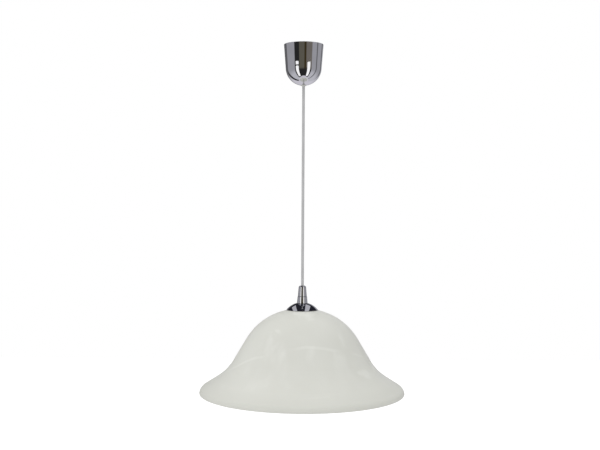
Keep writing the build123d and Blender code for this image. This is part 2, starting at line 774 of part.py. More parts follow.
# Ring with finger flutes below the glass
with BuildPart() as lower_ring:
    with BuildSketch(Plane.XY.offset(lower_ring_top)):
        Circle(lower_ring_radius)
        with PolarLocations(lower_ring_radius + flute_radius / 3, ring_flutes):
            Circle(flute_radius, mode=Mode.SUBTRACT)
        Circle(ring_bore, mode=Mode.SUBTRACT)
    extrude(amount=-lower_ring_height)
    chamfer(lower_ring.faces().sort_by(Axis.Z)[0].inner_wires().edges(), flute_radius / 2)
finish(lower_ring, "lower_ring")

# Glass shade: the outside line runs from the neck's ledge over the shoulder, down the waist and to the lip
with BuildPart() as glass_shade:
    with BuildSketch(Plane.XZ):
        with BuildLine():
            FilletPolyline(
                (neck_hole, neck_z), (ledge_radius, neck_z), (shoulder_radius, neck_z - shoulder_fall),
                (waist_radius, rim_z + waist_rise), (rim_radius, rim_z + lip_rise), (rim_radius, rim_z),
                radius=[ledge_round, shoulder_round, waist_round, lip_round],
            )
            offset(amount=glass_wall, side=Side.RIGHT)
        make_face()
    revolve(axis=Axis.Z)
    fillet(glass_shade.faces().sort_by(Axis.Z)[0].edges(), 0.475 * glass_wall)
finish(glass_shade, "glass_shade")

# Hollow globe of the bulb on its neck
with BuildPart() as bulb_globe:
    with BuildSketch(Plane.XZ):
        with BuildLine():
            FilletPolyline(
                (globe_neck_radius, bulb_cap_bottom), (globe_neck_radius + globe_neck_flare, globe_neck_end),
                (bulb_radius, globe_widest), (bulb_radius, bulb_bottom), (0, bulb_bottom),
                radius=[globe_neck_round, globe_flare_round, bulb_radius - 0.1],
            )
            offset(amount=globe_wall, side=Side.RIGHT)
        make_face()
    revolve(axis=Axis.Z)
finish(bulb_globe, "bulb_globe")

# Screw cap of the bulb: a thin shell with a sloping shoulder
with BuildPart() as bulb_cap:
    inner_radius = bulb_cap_radius - bulb_cap_wall
    shoulder_inner = insulator_radius + fit
    revolve(half_section(
        (inner_radius, bulb_cap_bottom), (bulb_cap_radius, bulb_cap_bottom),
        (bulb_cap_radius, bulb_cap_top - 1.5), (bulb_cap_radius - bulb_cap_shoulder, bulb_cap_top),
        (shoulder_inner, bulb_cap_top), (shoulder_inner, bulb_cap_top - bulb_cap_wall),
        (inner_radius, bulb_cap_top - 2),
    ), axis=Axis.Z)
finish(bulb_cap, "bulb_cap")

# Black insulator between the cap and the contact
with BuildPart() as bulb_insulator:
    revolve(half_section(
        (0, insulator_top), (bulb_contact_radius + 0.3, insulator_top), (insulator_radius, bulb_cap_top),
        (insulator_radius, bulb_cap_top - 1.2), (0, bulb_cap_top - 1.2),
    ), axis=Axis.Z)
finish(bulb_insulator, "bulb_insulator")

# Contact on the bulb's axis
with BuildPart() as bulb_contact:
    revolve(half_section(
        (0, bulb_top), (bulb_contact_radius - 2, bulb_top), (bulb_contact_radius, bulb_top - 1),
        (bulb_contact_radius, insulator_top), (0, insulator_top),
    ), axis=Axis.Z)
finish(bulb_contact, "bulb_contact")
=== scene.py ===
# %% [markdown]
# # A pendant lamp, dressed in Blender
#
# The lamp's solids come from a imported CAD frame, in metres, with the ceiling at z = 0 and the lamp
# hanging down the Z axis. This lesson gives them finishes, makes the few pieces that a plain solid
# can't show, such as the flex and the screw threads, and sets up the studio and the camera.

# %% Load the frame
import json
import math

import bmesh
import bpy
from mathutils import Matrix, Vector


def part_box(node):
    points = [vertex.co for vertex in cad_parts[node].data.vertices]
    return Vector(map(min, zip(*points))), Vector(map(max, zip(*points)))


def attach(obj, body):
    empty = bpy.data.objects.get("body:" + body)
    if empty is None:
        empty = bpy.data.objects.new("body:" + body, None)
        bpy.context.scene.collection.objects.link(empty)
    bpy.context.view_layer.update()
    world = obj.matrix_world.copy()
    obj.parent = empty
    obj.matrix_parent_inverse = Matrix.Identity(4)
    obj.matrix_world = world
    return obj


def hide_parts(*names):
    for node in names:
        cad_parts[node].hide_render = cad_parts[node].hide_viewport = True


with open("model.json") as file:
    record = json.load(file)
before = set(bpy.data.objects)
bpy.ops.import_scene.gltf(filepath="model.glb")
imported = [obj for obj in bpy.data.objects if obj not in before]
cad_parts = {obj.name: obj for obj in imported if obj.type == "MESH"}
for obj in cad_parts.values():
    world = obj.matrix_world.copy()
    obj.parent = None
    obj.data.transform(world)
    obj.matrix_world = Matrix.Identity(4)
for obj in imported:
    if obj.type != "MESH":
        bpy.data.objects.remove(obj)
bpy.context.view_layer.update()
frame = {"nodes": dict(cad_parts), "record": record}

nodes = frame["nodes"]
mm = 0.001

# %% [markdown]
# ## Camera
#
# The photograph was taken with a slightly long lens, from a little above the shade and well below the
# ceiling cup. A camera is a lens and a place: the lens comes from the picture's perspective, so it is set
# first, and the place then follows from how large the lamp appears. The small roll is the photograph's own.

# %% Camera
film_width = 36.0
lens_length = 57.0
camera_place = Vector((-0.0054, -1.8565, -0.3248))
camera_pitch_down = math.radians(0.85)
camera_roll = math.radians(0.33)

camera_data = bpy.data.cameras.new("photo_camera")
camera_data.sensor_width = film_width
camera_data.lens = lens_length
camera = bpy.data.objects.new("photo_camera", camera_data)
bpy.context.collection.objects.link(camera)
look = Matrix.Rotation(math.pi / 2 - camera_pitch_down, 4, "X") @ Matrix.Rotation(camera_roll, 4, "Z")
camera.matrix_world = Matrix.Translation(camera_place) @ look
bpy.context.scene.camera = camera
print("camera:", lens_length, "mm at", tuple(round(v, 3) for v in camera_place))

# %% [markdown]
# ## Flex
#
# A pendant's flex carries the lamp, so it hangs dead straight from the clamp in the ceiling cup to
# the gland on the dome. A curve with a round bevel is the plainest way to make it: the curve stays
# the cord's centre line, which can be measured. One extra point, six diameters below the clamp, lets the
# curve be of order 3, as a cord's line should be. Blender counts each point's radius, 1 m at first, in the
# curve's box, so the bevel is 1 deep and the points carry the cord's own radius.

# %% Flex
def heights(node):
    """Lowest and highest point of a solid."""
    low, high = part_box(node)
    return low[2], high[2]


flex_radius = 2.7 * mm
flex_end, flex_top = heights("cord")
near_clamp = flex_top - 12 * flex_radius


def flex_curve(name, points, radius):
    """Round cord along a smooth line through its control points."""
    curve = bpy.data.curves.new(name, "CURVE")
    curve.dimensions = "3D"
    curve.resolution_u = 12
    curve.bevel_depth = 1.0
    curve.bevel_resolution = 8
    curve.use_fill_caps = True
    spline = curve.splines.new("NURBS")
    spline.points.add(len(points) - 1)
    for point, place in zip(spline.points, points):
        point.co = (*place, 1.0)
        point.radius = radius
    spline.order_u = 3
    spline.use_endpoint_u = True
    piece = bpy.data.objects.new(name, curve)
    bpy.context.collection.objects.link(piece)
    return piece


flex = flex_curve("flex", [(0, 0, flex_top), (0, 0, near_clamp), (0, 0, flex_end)], flex_radius)
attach(flex, "pendant")
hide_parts("cord")
print("flex:", round(flex_top - flex_end, 4), "m long")

# %% [markdown]
# ## Shared surface effects
#
# Real surfaces are never one even value. Three small node groups give every finish its own life: a fine
# grain for the bump, handling marks in the gloss, and a broad mottling of the colour. Each is built once,
# with named inputs, and every material sets its own scale and strength. They read Object coordinates,
# which are metres in the lamp's own frame, so a pattern has the same size on every piece.

# %% Fine grain
def add_node(tree, kind, **settings):
    """New node in a tree with its settings."""
    node = tree.nodes.new(kind)
    for name, value in settings.items():
        setattr(node, name, value)
    return node


def feed(tree, socket, value):
    """Gives an input its value: a link from another socket, or a plain number, colour or vector."""
    if isinstance(value, bpy.types.NodeSocket):
        tree.links.new(value, socket)
    else:
        socket.default_value = value


def object_place(tree):
    """Place on a piece, in metres, as a socket."""
    return add_node(tree, "ShaderNodeTexCoord").outputs["Object"]


def noise_of(tree, place, scale, detail, stretch=(1, 1, 1), shift=(0, 0, 0)):
    """Noise on a piece's own coordinates, stretched along the axes. Returns its value."""
    mapping = add_node(tree, "ShaderNodeMapping")
    mapping.inputs["Scale"].default_value = stretch
    mapping.inputs["Location"].default_value = shift
    tree.links.new(place, mapping.inputs["Vector"])
    noise = add_node(tree, "ShaderNodeTexNoise")
    feed(tree, noise.inputs["Scale"], scale)
    noise.inputs["Detail"].default_value = detail
    tree.links.new(mapping.outputs["Vector"], noise.inputs["Vector"])
    return noise.outputs["Fac"]


def shader_group(name, inputs, output, output_kind):
    """Empty shader group with named sockets, and its input and output nodes."""
    group = bpy.data.node_groups.new(name, "ShaderNodeTree")
    for socket, value in inputs.items():
        kind = "NodeSocketColor" if isinstance(value, tuple) else "NodeSocketFloat"
        made = group.interface.new_socket(name=socket, in_out="INPUT", socket_type=kind)
        made.default_value = value
    group.interface.new_socket(name=output, in_out="OUTPUT", socket_type=output_kind)
    return group, add_node(group, "NodeGroupInput"), add_node(group, "NodeGroupOutput")


def grain_group():
    """Fine height for a moulded, rolled or unglazed skin."""
    group, inside, outside = shader_group("fine_grain", {"Scale": 1500.0}, "Height", "NodeSocketFloat")
    height = noise_of(group, object_place(group), inside.outputs["Scale"], detail=5.0)
    group.links.new(height, outside.inputs["Height"])
    return group


fine_grain = grain_group()
print("group:", fine_grain.name, "with", len(fine_grain.nodes), "nodes")

# %% Handling marks
scratch_scale = 1400.0
scratch_stretch = (1.0, 1.0, 0.06)
scratch_share = 0.35
marks_range = (0.45, 0.9)


def math_node(tree, operation, *values):
    """Math node on sockets or numbers. Returns the result socket."""
    node = add_node(tree, "ShaderNodeMath", operation=operation)
    for socket, value in zip(node.inputs, values):
        feed(tree, socket, value)
    return node.outputs[0]


def map_range(tree, value, low, high, to_low=0.0, to_high=1.0):
    """Map Range node with smooth ends. Returns the result socket."""
    node = add_node(tree, "ShaderNodeMapRange", interpolation_type="SMOOTHSTEP")
    limits = {"Value": value, "From Min": low, "From Max": high, "To Min": to_low, "To Max": to_high}
    for name, number in limits.items():
        feed(tree, node.inputs[name], number)
    return node.outputs["Result"]


def handling_group():
    """Gloss that varies in smudges and in fine upright scratches."""
    group, inside, outside = shader_group(
        "handling_marks", {"Scale": 40.0, "Low": 0.1, "High": 0.2}, "Roughness", "NodeSocketFloat")
    place = object_place(group)
    smudge = noise_of(group, place, inside.outputs["Scale"], detail=3.0)
    scratch = noise_of(group, place, scratch_scale, detail=2.0, stretch=scratch_stretch)
    both = math_node(group, "MULTIPLY_ADD", scratch, scratch_share, smudge)
    result = map_range(group, both, *marks_range, inside.outputs["Low"], inside.outputs["High"])
    group.links.new(result, outside.inputs["Roughness"])
    return group


handling_marks = handling_group()
print("group:", handling_marks.name, "with", len(handling_marks.nodes), "nodes")

# %% Soft mottle
mottle_range = (0.32, 0.68)


def mix_colours(tree, factor, first, second):
    """Mix node between two colours, each a socket or a colour. Returns the result socket."""
    mix = add_node(tree, "ShaderNodeMix", data_type="RGBA")
    # A Mix node has sockets for every kind of value, and its two colours are at 6 and 7
    for socket, value in ((mix.inputs[0], factor), (mix.inputs[6], first), (mix.inputs[7], second)):
        feed(tree, socket, value)
    return mix.outputs[2]


def mottle_group():
    """Broad soft variation between two colours."""
    colours = {"Pale": (1, 1, 1, 1), "Deep": (0.8, 0.8, 0.8, 1), "Scale": 60.0}
    group, inside, outside = shader_group("soft_mottle", colours, "Color", "NodeSocketColor")
    noise = noise_of(group, object_place(group), inside.outputs["Scale"], detail=4.0)
    factor = map_range(group, noise, *mottle_range)
    result = mix_colours(group, factor, inside.outputs["Deep"], inside.outputs["Pale"])
    group.links.new(result, outside.inputs["Color"])
    return group


soft_mottle = mottle_group()
print("group:", soft_mottle.name, "with", len(soft_mottle.nodes), "nodes")

# %% [markdown]
# ## Metals and plastics
#
# Chrome plate mirrors the room, so its look is mostly the studio's, with only a breath of handling in
# its gloss. The parts inside the cup and the holder, and the bulb, are ordinary hardware: plated steel,
# brass, moulded plastics, ceramic and glass. They take the same three effects with their own values, so
# one table of calls is enough.

# %% Polished chrome
grain_strength = 0.6


def new_material(name):
    """Node material with its tree and its main shader."""
    material = bpy.data.materials.new(name)
    material.use_nodes = True
    tree = material.node_tree
    return material, tree, tree.nodes["Principled BSDF"]


def place_group(tree, group, **values):
    """A shared group inside a material, with this material's own values."""
    node = add_node(tree, "ShaderNodeGroup", node_tree=group)
    for name, value in values.items():
        node.inputs[name].default_value = value
    return node


def mottled(tree, pale, deep, scale):
    """Colour that drifts between two shades, as a socket."""
    node = place_group(tree, soft_mottle, Pale=(*pale, 1), Deep=(*deep, 1), Scale=scale)
    return node.outputs["Color"]


def handle_gloss(tree, shader, gloss, scale):
    """Roughness with handling marks, between the two values of gloss."""
    marks = place_group(tree, handling_marks, Scale=scale, Low=gloss[0], High=gloss[1])
    tree.links.new(marks.outputs["Roughness"], shader.inputs["Roughness"])


def raise_skin(tree, shader, height, strength, depth):
    """Bump from a height, with its depth in metres."""
    bump = add_node(tree, "ShaderNodeBump")
    bump.inputs["Strength"].default_value = strength
    bump.inputs["Distance"].default_value = depth
    tree.links.new(height, bump.inputs["Height"])
    tree.links.new(bump.outputs["Normal"], shader.inputs["Normal"])


def plain_finish(name, pale, deep, gloss, mottle=60, smudge=40, grain=1500, depth=0.01 * mm, metal=0.0):
    """Material with the three shared effects. Metal is 1 for metals and 0 for everything else."""
    material, tree, shader = new_material(name)
    shader.inputs["Metallic"].default_value = metal
    tree.links.new(mottled(tree, pale, deep, mottle), shader.inputs["Base Color"])
    handle_gloss(tree, shader, gloss, smudge)
    if depth:
        skin = place_group(tree, fine_grain, Scale=grain)
        raise_skin(tree, shader, skin.outputs["Height"], grain_strength, depth)
    return material


finishes = {
    "chrome": plain_finish(
        "polished_chrome", (0.62, 0.62, 0.63), (0.59, 0.59, 0.6), (0.01, 0.025), smudge=55, depth=0,
        metal=1.0),
}
print("first finish:", finishes["chrome"].name)

# %% Hardware, bulb and cores
core_gloss = (0.35, 0.48)
finishes.update({
    "zinc_steel": plain_finish(
        "zinc_plated_steel", (0.66, 0.67, 0.68), (0.5, 0.51, 0.53), (0.24, 0.42), mottle=220, metal=1.0),
    "brass": plain_finish(
        "plain_brass", (0.83, 0.64, 0.32), (0.68, 0.49, 0.22), (0.18, 0.34), mottle=180, metal=1.0),
    "bulb_metal": plain_finish(
        "rolled_aluminium", (0.78, 0.78, 0.77), (0.66, 0.66, 0.66), (0.22, 0.36), mottle=150, metal=1.0),
    "nylon": plain_finish(
        "natural_nylon", (0.84, 0.84, 0.8), (0.77, 0.77, 0.72), (0.38, 0.52), grain=2200, depth=0.03 * mm),
    "holder_plastic": plain_finish(
        "white_thermoset", (0.86, 0.86, 0.83), (0.8, 0.8, 0.77), (0.24, 0.36), grain=900, depth=0.02 * mm),
    "ceramic": plain_finish(
        "unglazed_ceramic", (0.87, 0.84, 0.79), (0.78, 0.75, 0.69), (0.62, 0.8), mottle=300, grain=3000,
        depth=0.06 * mm),
    "silicone": plain_finish(
        "soft_silicone", (0.8, 0.8, 0.78), (0.72, 0.72, 0.7), (0.5, 0.62), grain=1200, depth=0.02 * mm),
    "black_glass": plain_finish(
        "black_cap_glass", (0.03, 0.03, 0.035), (0.015, 0.015, 0.018), (0.08, 0.2), mottle=200),
    "brown_core": plain_finish(
        "brown_insulation", (0.2, 0.1, 0.05), (0.15, 0.07, 0.035), core_gloss, mottle=250),
    "blue_core": plain_finish(
        "blue_insulation", (0.06, 0.16, 0.5), (0.04, 0.11, 0.4), core_gloss, mottle=250),
    "opal_glass": plain_finish(
        "opal_bulb_glass", (0.88, 0.88, 0.86), (0.84, 0.84, 0.82), (0.2, 0.28), mottle=25, grain=600,
        depth=0.004 * mm),
})
print("finishes:", ", ".join(finishes))

# %% [markdown]
# ## Earth core
#
# The earth core is green with a yellow stripe along it. A stripe that follows a bent core would need a
# map of its surface. Only short ends of it leave the flex, inside the cup and the holder, so slanting
# bands across the piece are enough to tell it from the other two.

# %% Earth core
stripe_scale = 170.0
stripe_waver = 0.6
stripe_edges = (0.45, 0.55)
stripe_yellow = (0.72, 0.6, 0.05, 1)
core_green = (0.08, 0.34, 0.06)
core_deep_green = (0.05, 0.26, 0.04)


def striped_core():
    """Green insulation with yellow stripes."""
    material, tree, shader = new_material("earth_insulation")
    wave = add_node(tree, "ShaderNodeTexWave", wave_type="BANDS", bands_direction="DIAGONAL")
    wave.inputs["Scale"].default_value = stripe_scale
    wave.inputs["Distortion"].default_value = stripe_waver
    tree.links.new(object_place(tree), wave.inputs["Vector"])
    stripe = map_range(tree, wave.outputs["Fac"], *stripe_edges)
    green = mottled(tree, core_green, core_deep_green, scale=250)
    tree.links.new(mix_colours(tree, stripe, green, stripe_yellow), shader.inputs["Base Color"])
    handle_gloss(tree, shader, core_gloss, scale=40)
    return material


finishes["earth_core"] = striped_core()
print("earth core:", finishes["earth_core"].name)

# %% [markdown]
# ## Flex sheath
#
# The three cores inside the flex are laid up in a twist, and a thin sheath shows it as a faint rope-like
# wave. Angle and height round the lamp's axis give that wave: three ridges that turn once in 45 mm.

# %% Flex sheath
lay_length = 45 * mm
lay_ridges = 3.0
lay_depth = 0.15 * mm
lay_strength = 0.5
sheath_pale = (0.52, 0.52, 0.525)
sheath_deep = (0.475, 0.475, 0.48)
sheath_gloss = (0.34, 0.5)


def laid_sheath():
    """Pale grey sheath with the faint lay of its cores."""
    material, tree, shader = new_material("pale_flex_sheath")
    colour = mottled(tree, sheath_pale, sheath_deep, scale=30)
    tree.links.new(colour, shader.inputs["Base Color"])
    handle_gloss(tree, shader, sheath_gloss, scale=50)
    split = add_node(tree, "ShaderNodeSeparateXYZ")
    tree.links.new(object_place(tree), split.inputs[0])
    angle = math_node(tree, "ARCTAN2", split.outputs["Y"], split.outputs["X"])
    turns = math_node(tree, "MULTIPLY", split.outputs["Z"], 2 * math.pi / lay_length)
    phase = math_node(tree, "MULTIPLY", math_node(tree, "ADD", angle, turns), lay_ridges)
    raise_skin(tree, shader, math_node(tree, "SINE", phase), lay_strength, lay_depth)
    return material


finishes["flex_sheath"] = laid_sheath()
print("flex sheath:", finishes["flex_sheath"].name)

# %% [markdown]
# ## Alabaster glass
#
# The bell is white glass with faint pale wisps, drawn out while the glass was soft and turning. Two kinds
# show: thin arcs, where a layer of pale glass meets the surface at a slant, and upright streaks near the
# crown. An image could hold them, but it would need a seam. Here the arcs are bands of a slanting height and
# the streaks are noise stretched upright, so the pattern runs right round the bell. More noise breaks the
# arcs up: one long arch stays, and a few short ones cross it. Towards the lip the wisps fade, and a greyer
# band of painted shade darkens the lower flare there. The glass lets some light into itself, which softens
# it.

# %% Wisps in the glass
shade_low = heights("glass_shade")[0]
lip_height = shade_low + 12 * mm
wisp_fade = 20 * mm
streak_heights = (shade_low + 60.5 * mm, shade_low + 110.5 * mm)
streak_strength = (0.15, 0.6)
streak_edges = (0.52, 0.72)
bend_scale = 7.0
bend_height = 50 * mm
line_strength = 0.38


def slanting_arcs(tree, place, slant, spacing, level, sharpness):
    """Thin bands of a slanting height, bent by noise, one of them at the given level. Returns a mask."""
    height = add_node(tree, "ShaderNodeVectorMath", operation="DOT_PRODUCT")
    tree.links.new(place, height.inputs[0])
    height.inputs[1].default_value = slant
    bend = noise_of(tree, place, bend_scale, detail=2.0)
    bent = math_node(tree, "MULTIPLY_ADD", bend, bend_height, height.outputs["Value"])
    phase = math_node(tree, "MULTIPLY", math_node(tree, "SUBTRACT", bent, level), 2 * math.pi / spacing)
    return map_range(tree, math_node(tree, "COSINE", phase), sharpness, 1.0)


def broken_arcs(tree, place, arcs, scale, detail, gap, run):
    """Arcs that show only where a noise is above its gap, and fully above its run. Returns a mask."""
    runs = map_range(tree, noise_of(tree, place, scale, detail), gap, run)
    return math_node(tree, "MULTIPLY", arcs, runs)


def wisp_mask(tree, place, height):
    """Where the pale wisps show, from 0 to 1."""
    arch = slanting_arcs(tree, place, slant=(-0.1, 0.57, 1.0), spacing=0.11, level=-0.6186, sharpness=0.975)
    arch = broken_arcs(tree, place, arch, scale=9.0, detail=3.0, gap=0.4, run=0.56)
    short = slanting_arcs(tree, place, slant=(0.45, -0.2, 1.0), spacing=0.17, level=-0.533, sharpness=0.985)
    short = broken_arcs(tree, place, short, scale=21.0, detail=2.0, gap=0.54, run=0.66)
    lines = math_node(tree, "MAXIMUM", arch, short)

    upright = noise_of(tree, place, scale=24.0, detail=3.0, stretch=(1, 1, 0.12), shift=(0.7, 0.2, 0.5))
    near_crown = map_range(tree, height, *streak_heights, *streak_strength)
    streaks = math_node(tree, "MULTIPLY", map_range(tree, upright, *streak_edges), near_crown)
    wisps = math_node(tree, "MULTIPLY_ADD", lines, line_strength, streaks)
    above_lip = map_range(tree, height, lip_height, lip_height + wisp_fade)
    return math_node(tree, "MULTIPLY", wisps, above_lip)


print("glass: lip at", round(lip_height, 4), "m, streaks from", round(streak_heights[0], 4), "m up")

# %% Alabaster glass
glass_pale = (0.702, 0.707, 0.66)
glass_deep = (0.678, 0.682, 0.634)
glass_gloss = (0.36, 0.46)
wisp_colour = (0.8, 0.805, 0.765, 1)
# Painted shade at the lip: its grey, how far above the lip it reaches, and how strongly it is mixed in
painted_lip_shade_colour = (0.635, 0.64, 0.59, 1)
painted_lip_shade_band = 18 * mm
painted_lip_shade_share = 0.45


def alabaster():
    """White glass with faint drawn-out wisps."""
    material, tree, shader = new_material("alabaster_glass")
    place = object_place(tree)
    split = add_node(tree, "ShaderNodeSeparateXYZ")
    tree.links.new(place, split.inputs[0])
    height = split.outputs["Z"]

    cloud = mottled(tree, glass_pale, glass_deep, scale=9)
    colour = mix_colours(tree, wisp_mask(tree, place, height), cloud, wisp_colour)
    # Painted shade: the colour turns greyer towards the lip, standing in for the darker lower flare
    painted_lip_shade = map_range(tree, height, lip_height + painted_lip_shade_band, lip_height, 0.0, painted_lip_shade_share)
    colour = mix_colours(tree, painted_lip_shade, colour, painted_lip_shade_colour)
    tree.links.new(colour, shader.inputs["Base Color"])
    handle_gloss(tree, shader, glass_gloss, scale=14)
    shader.inputs["IOR"].default_value = 1.5
    shader.inputs["Specular IOR Level"].default_value = 0.12
    shader.inputs["Subsurface Weight"].default_value = 0.15
    shader.inputs["Subsurface Radius"].default_value = (0.006, 0.006, 0.0055)
    shader.inputs["Subsurface Scale"].default_value = 1.0
    return material


finishes["alabaster_glass"] = alabaster()
print("alabaster:", finishes["alabaster_glass"].name)

# %% [markdown]
# ## Dressing the solids
#
# The frame's record names a material slot for every solid. The finishes above are kept under the same
# names, so one loop dresses the whole lamp, and no solid can be forgotten.

# %% Give every solid its finish
for part in frame["record"]["subparts"]:
    solid = nodes[part["node"]]
    solid.data.materials.clear()
    solid.data.materials.append(finishes[part["material_slot"]])
flex.data.materials.append(finishes["flex_sheath"])

# %% [markdown]
# ## Turned pieces with screw threads
#
# The bulb's cap and the holder's sleeve are rolled from thin sheet, so their threads show inside and
# out. The holder's shell is moulded with a thread on its outside only. All of them are one section
# turned round the lamp's axis, with a radius that rises and falls along a helix. That is a rule, so
# Geometry Nodes make it: a grid whose rows are the section's points and whose columns go round, with
# every point moved to its place.

# %% A grid from a section
def section_grid(tree, inside):
    """Grid with a row for each section point. Returns it, and its points' columns, radii and heights."""
    link = tree.links.new
    finer = add_node(tree, "GeometryNodeSubdivideCurve")
    link(inside.outputs["Geometry"], finer.inputs["Curve"])
    link(inside.outputs["Cuts"], finer.inputs["Cuts"])
    count = add_node(tree, "GeometryNodeAttributeDomainSize", component="CURVE")
    link(finer.outputs["Curve"], count.inputs["Geometry"])
    section_points = count.outputs["Point Count"]
    rows = math_node(tree, "ADD", section_points, 1.0)
    columns = math_node(tree, "ADD", inside.outputs["Segments"], 1.0)
    grid = add_node(tree, "GeometryNodeMeshGrid")
    link(columns, grid.inputs["Vertices X"])
    link(rows, grid.inputs["Vertices Y"])

    # A grid counts its points column by column, and the last row is the first one again
    number = add_node(tree, "GeometryNodeInputIndex").outputs["Index"]
    column = math_node(tree, "FLOOR", math_node(tree, "DIVIDE", math_node(tree, "ADD", number, 0.5), rows))
    row = math_node(tree, "SUBTRACT", number, math_node(tree, "MULTIPLY", column, rows))
    sample = add_node(tree, "GeometryNodeSampleIndex", data_type="FLOAT_VECTOR", domain="POINT")
    link(finer.outputs["Curve"], sample.inputs["Geometry"])
    link(add_node(tree, "GeometryNodeInputPosition").outputs["Position"], sample.inputs["Value"])
    link(math_node(tree, "MODULO", row, section_points), sample.inputs["Index"])
    section = add_node(tree, "ShaderNodeSeparateXYZ")
    link(sample.outputs["Value"], section.inputs[0])
    return grid.outputs["Mesh"], column, section.outputs["X"], section.outputs["Z"]


turning_inputs = {
    "Segments": "NodeSocketInt", "Cuts": "NodeSocketInt", "Pitch": "NodeSocketFloat",
    "Depth": "NodeSocketFloat", "Low": "NodeSocketFloat", "High": "NodeSocketFloat",
    "Inside": "NodeSocketFloat", "Material": "NodeSocketMaterial",
}
print("inputs of the turning tree:", ", ".join(turning_inputs))

# %% A thread pressed into the radius
thread_fade = 2 * mm


def threaded_radius(tree, inside, radius, height, angle):
    """Radius with a wave along the helix, faded at both ends and left off the wall inside a given radius."""
    turns = math_node(tree, "DIVIDE", height, inside.outputs["Pitch"])
    rise = math_node(tree, "MULTIPLY", turns, 2 * math.pi)
    wave = math_node(tree, "COSINE", math_node(tree, "SUBTRACT", rise, angle))
    dip = math_node(tree, "MULTIPLY_ADD", wave, -0.5, 0.5)
    low, high = inside.outputs["Low"], inside.outputs["High"]
    fade_in = map_range(tree, height, low, math_node(tree, "ADD", low, thread_fade))
    fade_out = map_range(tree, height, math_node(tree, "SUBTRACT", high, thread_fade), high, 1.0, 0.0)
    outer = math_node(tree, "GREATER_THAN", radius, inside.outputs["Inside"])
    mask = math_node(tree, "MULTIPLY", math_node(tree, "MULTIPLY", fade_in, fade_out), outer)
    cut = math_node(tree, "MULTIPLY", math_node(tree, "MULTIPLY", dip, mask), inside.outputs["Depth"])
    return math_node(tree, "SUBTRACT", radius, cut)


print("threads fade out over", thread_fade / mm, "mm")

# %% The turning tree
weld_distance = 0.001 * mm


def turned_thread_tree():
    """Geometry Nodes: turns a closed section round Z and presses a thread into it."""
    tree = bpy.data.node_groups.new("turned_thread", "GeometryNodeTree")
    tree.interface.new_socket(name="Geometry", in_out="INPUT", socket_type="NodeSocketGeometry")
    for name, kind in turning_inputs.items():
        tree.interface.new_socket(name=name, in_out="INPUT", socket_type=kind)
    tree.interface.new_socket(name="Geometry", in_out="OUTPUT", socket_type="NodeSocketGeometry")
    link = tree.links.new
    inside = add_node(tree, "NodeGroupInput")
    outside = add_node(tree, "NodeGroupOutput")

    grid, column, radius, height = section_grid(tree, inside)
    step = math_node(tree, "DIVIDE", 2 * math.pi, inside.outputs["Segments"])
    angle = math_node(tree, "MULTIPLY", column, step)
    turned = threaded_radius(tree, inside, radius, height, angle)

    # Every point to its place, then the two seams are closed
    spot = add_node(tree, "ShaderNodeCombineXYZ")
    link(math_node(tree, "MULTIPLY", turned, math_node(tree, "COSINE", angle)), spot.inputs["X"])
    link(math_node(tree, "MULTIPLY", turned, math_node(tree, "SINE", angle)), spot.inputs["Y"])
    link(height, spot.inputs["Z"])
    move = add_node(tree, "GeometryNodeSetPosition")
    link(grid, move.inputs["Geometry"])
    link(spot.outputs["Vector"], move.inputs["Position"])
    weld = add_node(tree, "GeometryNodeMergeByDistance")
    weld.inputs["Distance"].default_value = weld_distance
    link(move.outputs["Geometry"], weld.inputs["Geometry"])
    real = add_node(tree, "GeometryNodeRealizeInstances")
    link(weld.outputs["Geometry"], real.inputs["Geometry"])
    dress = add_node(tree, "GeometryNodeSetMaterial")
    link(real.outputs["Geometry"], dress.inputs["Geometry"])
    link(inside.outputs["Material"], dress.inputs["Material"])
    link(dress.outputs["Geometry"], outside.inputs["Geometry"])
    return tree


turned_thread = turned_thread_tree()
print("tree:", turned_thread.name, "with", len(turned_thread.nodes), "nodes")

# %% [markdown]
# ### From section to piece
#
# Each section is drawn as a closed line, and the tree turns it. The result is kept as a plain mesh, because
# the export reads plain meshes and the modifier has done its work. Recalculated normals point the faces
# outwards, and a count of open edges shows that both seams are closed.

# %% Turn a section into a piece
sharp_angle = math.radians(50)


def section_line(name, section):
    """Closed line through (radius, height) points."""
    curve = bpy.data.curves.new(name, "CURVE")
    curve.dimensions = "3D"
    line = curve.splines.new("POLY")
    line.points.add(len(section) - 1)
    for point, (radius, height) in zip(line.points, section):
        point.co = (radius, 0, height, 1)
    line.use_cyclic_u = True
    source = bpy.data.objects.new(name + "_section", curve)
    bpy.context.collection.objects.link(source)
    return source


def turned_mesh(source, values):
    """Plain mesh that the turning tree makes from a section line, which is removed."""
    modifier = source.modifiers.new("turned_thread", "NODES")
    modifier.node_group = turned_thread
    for item in turned_thread.interface.items_tree:
        if item.in_out == "INPUT" and item.name in values:
            modifier[item.identifier] = values[item.name]
    graph = bpy.context.evaluated_depsgraph_get()
    mesh = bpy.data.meshes.new_from_object(source.evaluated_get(graph))
    bpy.data.objects.remove(source)
    return mesh


def turned_piece(name, section, slot, body, node, **thread):
    """Piece turned from a closed section of (radius, height) points, in place of a plain solid."""
    mesh = turned_mesh(section_line(name, section), dict(thread, Material=finishes[slot]))
    shape = bmesh.new()
    shape.from_mesh(mesh)
    bmesh.ops.recalc_face_normals(shape, faces=shape.faces)
    open_edges = sum(not edge.is_manifold for edge in shape.edges)
    shape.to_mesh(mesh)
    shape.free()
    mesh.set_sharp_from_angle(angle=sharp_angle)
    piece = bpy.data.objects.new(name, mesh)
    bpy.context.collection.objects.link(piece)
    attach(piece, body)
    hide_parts(node)
    print(name + ":", len(mesh.polygons), "faces,", open_edges, "open edges")


print("turned pieces are sharp at edges over", round(math.degrees(sharp_angle)), "degrees")

# %% [markdown]
# ### Bulb cap
#
# The cap of a screw bulb is drawn from thin sheet and its thread is rolled in, so the thread is a soft
# wave. At the top it narrows to the insulator. Its height is read from the solid that it stands for, and
# its radius is the solid's own, with the thread pressed inwards. The section runs round the thin wall, so
# the wave shows inside and out.

